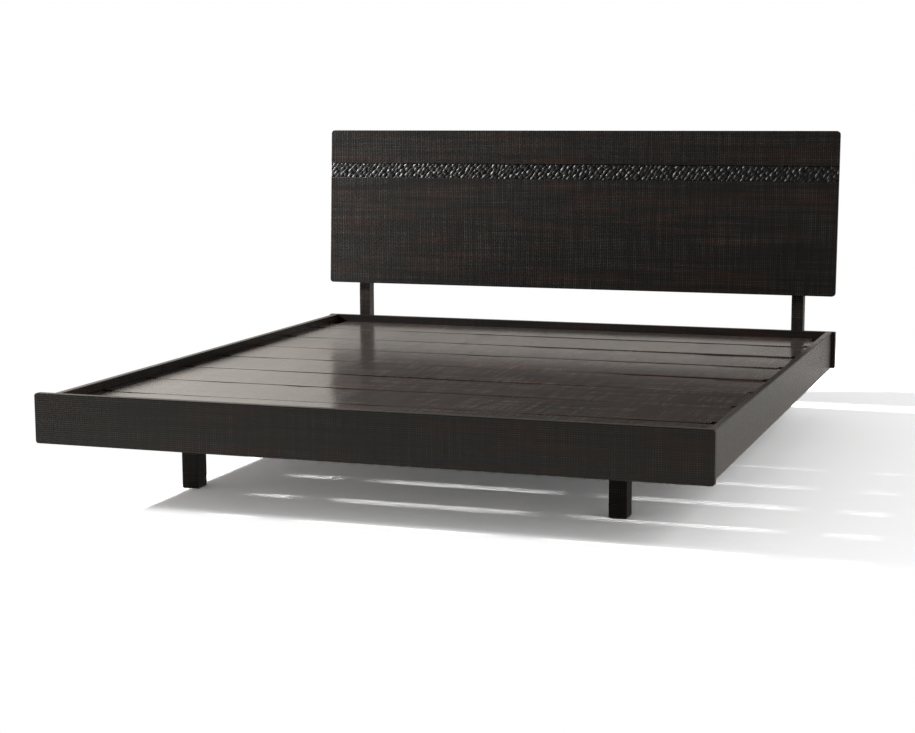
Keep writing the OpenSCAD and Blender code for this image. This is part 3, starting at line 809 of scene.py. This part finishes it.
def routed_panel():
    """The panel's shell, built with the groove open at both ends."""
    shell = bmesh.new()
    groove_edges = (groove_bottom, groove_top)
    groove_face = -panel_thickness + groove_depth
    right = [p for p in outline if p[0] > 0]
    left = [p for p in outline if p[0] < 0]
    right_low = [p for p in right if p[1] < groove_bottom]
    right_high = [p for p in right if p[1] > groove_top]
    left_low = [p for p in left if p[1] < groove_bottom]
    left_high = [p for p in left if p[1] > groove_top]
    bands = [
        (right_low + [(panel_half, groove_bottom), (-panel_half, groove_bottom)] + left_low, -panel_thickness),
        ([(panel_half, groove_bottom), (panel_half, groove_top),
          (-panel_half, groove_top), (-panel_half, groove_bottom)], groove_face),
        ([(panel_half, groove_top)] + right_high + left_high + [(-panel_half, groove_top)], -panel_thickness),
    ]
    for points, face_y in bands:
        front = [shell.verts.new((x, face_y, z)) for x, z in points]
        back = [shell.verts.new((x, 0.0, z)) for x, z in points]
        shell.faces.new(front)
        shell.faces.new(list(reversed(back)))
        for i in range(len(points)):
            j = (i + 1) % len(points)
            a, b = points[i], points[j]
            inner = a[1] == b[1] and a[1] in groove_edges and abs(a[0]) == abs(b[0])
            if not inner:
                shell.faces.new((front[j], front[i], back[i], back[j]))
    for z in groove_edges:
        corners = [(-panel_half, -panel_thickness), (panel_half, -panel_thickness),
                   (panel_half, groove_face), (-panel_half, groove_face)]
        shell.faces.new([shell.verts.new((x, y, z)) for x, y in corners])
    bmesh.ops.remove_doubles(shell, verts=shell.verts, dist=1e-6)
    bmesh.ops.dissolve_limit(shell, angle_limit=0.001, verts=shell.verts, edges=shell.edges)
    bmesh.ops.recalc_face_normals(shell, faces=shell.faces)
    mesh = bpy.data.meshes.new("headboard_panel_plank")
    shell.to_mesh(mesh)
    shell.free()
    return mesh


panel = settle(ease_arris(new_piece("headboard_panel_plank", routed_panel(), panel_stain), 0.0013))
panel.data.transform(panel_foot)
fit(panel, "frame", "dark_wood", "headboard_panel")


# Carved band
# A thin strip let into the groove, its face carved by hand into small
# overlapping pebbles, then stained and given a glossier lacquer.
def pebble_tree():
    add, given, finish, calc, xyz = tree_maker(
        "pebble_strip", ["Length", "Height", "Thickness", "Step", "Pebble Length", "Pebble Width", "Relief"]
    )
    count_x = calc("ADD", calc("DIVIDE", given["Length"], given["Step"]), 1.0)
    count_z = calc("ADD", calc("DIVIDE", given["Height"], given["Step"]), 1.0)
    strip = add(
        "GeometryNodeMeshCube",
        {"Size": xyz(given["Length"], given["Thickness"], given["Height"]),
         "Vertices X": count_x, "Vertices Z": count_z},
    ).outputs["Mesh"]
    place = add("GeometryNodeInputPosition").outputs[0]
    parts = add("ShaderNodeSeparateXYZ", {"Vector": place}).outputs
    slant = math.radians(48)
    cos, sin = math.cos(slant), math.sin(slant)
    long_way = calc("ADD", calc("MULTIPLY", parts["X"], cos), calc("MULTIPLY", parts["Z"], sin))
    short_way = calc("SUBTRACT", calc("MULTIPLY", parts["Z"], cos), calc("MULTIPLY", parts["X"], sin))
    cell_x = calc("DIVIDE", long_way, given["Pebble Length"])
    cell_y = calc("DIVIDE", short_way, given["Pebble Width"])
    cell = xyz(cell_x, cell_y, 0.0)
    drift = add("ShaderNodeTexNoise", {"Vector": place, "Scale": 14.0, "Detail": 1.0}).outputs["Color"]
    drift = add("ShaderNodeVectorMath", {0: drift, 1: (0.9, 0.9, 0.0)}, operation="MULTIPLY").outputs[0]
    cell = add("ShaderNodeVectorMath", {0: cell, 1: drift}, operation="ADD").outputs[0]
    near = add(
        "ShaderNodeTexVoronoi", {"Vector": cell, "Scale": 1.0, "Randomness": 0.55},
        voronoi_dimensions="2D", feature="F1",
    ).outputs
    dome = calc("SUBTRACT", 1.0, calc("MULTIPLY", calc("POWER", near["Distance"], 2.0), 2.2))
    dome = calc("MAXIMUM", dome, 0.0)
    tint = add("ShaderNodeSeparateXYZ", {"Vector": near["Color"]}).outputs["X"]
    dome = calc("MULTIPLY", dome, calc("ADD", calc("MULTIPLY", tint, 0.25), 0.78))
    on_face = calc("LESS_THAN", parts["Y"], calc("MULTIPLY", given["Thickness"], -0.49))
    lift = calc("MULTIPLY", calc("MULTIPLY", calc("SUBTRACT", dome, 0.55), given["Relief"]), -1.0)
    carved = add(
        "GeometryNodeSetPosition",
        {"Geometry": strip, "Selection": on_face, "Offset": xyz(0.0, lift, 0.0)},
    ).outputs[0]
    smooth = add("GeometryNodeSetShadeSmooth", {0: carved, 1: on_face}).outputs[0]
    return finish(smooth)


def carved_finish():
    """Near black stain under lacquer, browner in small clouds."""
    material, add = new_material("stain_carved_band")
    place = add("ShaderNodeTexCoord").outputs["Object"]
    cloud = add("ShaderNodeTexNoise", {"Vector": place, "Scale": 34.0, "Detail": 3.0}).outputs["Fac"]
    colour = ramp(
        add, cloud, [(0.40, (0.004, 0.004, 0.004)), (0.60, (0.006, 0.006, 0.006)), (0.72, (0.022, 0.010, 0.007))]
    )
    grain = add("ShaderNodeTexNoise", {"Vector": place, "Scale": 520.0, "Detail": 3.0}).outputs["Fac"]
    bump = add("ShaderNodeBump", {"Strength": 0.18, "Distance": 0.0003, "Height": grain}).outputs["Normal"]
    gloss = ramp(add, grain, [(0.3, 0.36), (0.7, 0.44)])
    surface = add(
        "ShaderNodeBsdfPrincipled",
        {"Base Color": colour, "Roughness": gloss, "IOR": 1.45, "Normal": bump},
    )
    add("ShaderNodeOutputMaterial", {"Surface": surface.outputs[0]})
    return material


band_thickness = 0.005
band_recess = 0.003
band = grow(
    "carved_band_pebbles", pebble_tree(), carved_finish(),
    length=2 * panel_half, height=groove_top - groove_bottom, thickness=band_thickness, step=0.002,
    pebble_length=0.0205, pebble_width=0.0125, relief=0.0032,
)
band_y = -panel_thickness + band_recess + band_thickness / 2
band.data.transform(panel_foot @ Matrix.Translation((0.0, band_y, (groove_bottom + groove_top) / 2)))
fit(band, "frame", "carved_wood", "carved_band")

# Studio
# A pale floor, white to the camera outside the bed's shadow, a small bright
# lamp far to the left and a weak wide one at the right. What the lacquer
# mirrors is a sky no stronger than 1, with an evenly bright part at the left.
warm_white = (1.0, 0.955, 0.885, 1)
floor_grey = (0.35, 0.35, 0.35, 1)
mirrored_floor = (0.72, 0.71, 0.69, 1)
floor_to_camera = (6.0, 6.0, 6.0, 1)
floor_glow = 0.35
reach = 5.0
# Where the shadow fades out: axis, the place of full white and the place where it starts
fades = (("X", -0.680, -0.600), ("Y", -1.090, -0.990), ("X", 4.2, 1.2), ("Y", 3.0, 1.2))


def studio_nodes(add):
    """Short ways to add the nodes that the floor and the sky share."""
    path = add("ShaderNodeLightPath").outputs

    def calc(operation, a, b):
        return add("ShaderNodeMath", {0: a, 1: b}, operation=operation).outputs[0]

    def fade(value, start, end, at_start, at_end, **kind):
        ends = {"Value": value, "From Min": start, "From Max": end, "To Min": at_start, "To Max": at_end}
        return add("ShaderNodeMapRange", ends, **kind).outputs[0]

    def mix(factor, a, b, data_type="RGBA"):
        return add("ShaderNodeMix", {"Factor": factor, "A": a, "B": b}, data_type=data_type).outputs["Result"]

    first_look = calc("LESS_THAN", path["Diffuse Depth"], 0.5)
    mirrored = calc("MULTIPLY", calc("MAXIMUM", path["Is Glossy Ray"], path["Is Transmission Ray"]), first_look)
    return path["Is Camera Ray"], mirrored, calc, fade, mix


corners = [(-reach, -reach, 0), (reach, -reach, 0), (reach, reach, 0), (-reach, reach, 0)]
floor_mesh = bpy.data.meshes.new("floor")
floor_mesh.from_pydata(corners, [], [(0, 1, 2, 3)])
floor = bpy.data.objects.new("floor", floor_mesh)
bpy.context.scene.collection.objects.link(floor)
floor_finish, add = new_material("pale_floor")
to_camera, mirrored, calc, fade, mix = studio_nodes(add)
paint = mix(to_camera, mix(mirrored, floor_grey, mirrored_floor), floor_to_camera)
matte = add("ShaderNodeBsdfDiffuse", {"Color": paint}).outputs[0]
glow = calc("MULTIPLY", mirrored, floor_glow)
sheen = add("ShaderNodeEmission", {"Color": warm_white, "Strength": glow}).outputs[0]
lit = add("ShaderNodeAddShader", {0: matte, 1: sheen}).outputs[0]
white = add("ShaderNodeEmission", {"Color": (1, 1, 1, 1), "Strength": 1.0}).outputs[0]
spot = add("ShaderNodeSeparateXYZ", {"Vector": add("ShaderNodeTexCoord").outputs["Object"]}).outputs
clear = 0.0
for axis, outside, inside in fades:
    edge = fade(spot[axis], outside, inside, 1.0, 0.0, interpolation_type="SMOOTHSTEP")
    clear = calc("MAXIMUM", clear, edge)
seen_clear = calc("MULTIPLY", clear, to_camera)
ground = add("ShaderNodeMixShader", {0: seen_clear, 1: lit, 2: white}).outputs[0]
add("ShaderNodeOutputMaterial", {"Surface": ground})
floor_mesh.materials.append(floor_finish)

world = bpy.data.worlds.new("studio")
bpy.context.scene.world = world
world.use_nodes = True
world.node_tree.nodes.clear()
add = node_maker(world.node_tree)
to_camera, mirrored, calc, fade, mix = studio_nodes(add)
toward = add("ShaderNodeSeparateXYZ", {"Vector": add("ShaderNodeTexCoord").outputs["Generated"]}).outputs
behind = fade(toward["Y"], -0.45, 0.0, 0.05, 1.0)
low_down = fade(toward["Z"], 0.35, 0.60, 1.0, 0.10)
at_left = fade(toward["X"], -0.50, -0.36, 1.0, 0.0)
sky = fade(toward["Z"], 0.11, 0.21, 0.12, 1.0)
background = calc("MULTIPLY", calc("MULTIPLY", behind, low_down), mix(at_left, sky, 1.0, "FLOAT"))
level = fade(toward["Z"], 0.0, 0.55, 0.58, 0.07)
strength = mix(to_camera, mix(mirrored, level, background, "FLOAT"), 1.0, "FLOAT")
tint = mix(mirrored, (1, 1, 1, 1), warm_white)
air = add("ShaderNodeBackground", {"Color": tint, "Strength": strength}).outputs[0]
add("ShaderNodeOutputWorld", {"Surface": air})


def soft_light(name, place, target, width, height, watts):
    """A rectangular lamp at a place, turned to its target."""
    data = bpy.data.lights.new(name, "AREA")
    data.shape = "RECTANGLE"
    data.size = width
    data.size_y = height
    data.energy = watts
    lamp = bpy.data.objects.new(name, data)
    away = Vector(place) - Vector(target)
    lamp.matrix_world = Matrix.Translation(place) @ away.to_track_quat("Z", "Y").to_matrix().to_4x4()
    bpy.context.scene.collection.objects.link(lamp)


soft_light("key_from_left", (-6.10, -0.67, 3.30), (0.0, 0.0, 0.2), width=0.62, height=0.60, watts=850.0)
soft_light("right_panel", (4.4, -0.8, 3.4), (0.6, 0.0, 0.0), width=2.2, height=2.2, watts=15.0)
bpy.context.scene.view_settings.view_transform = "Standard"
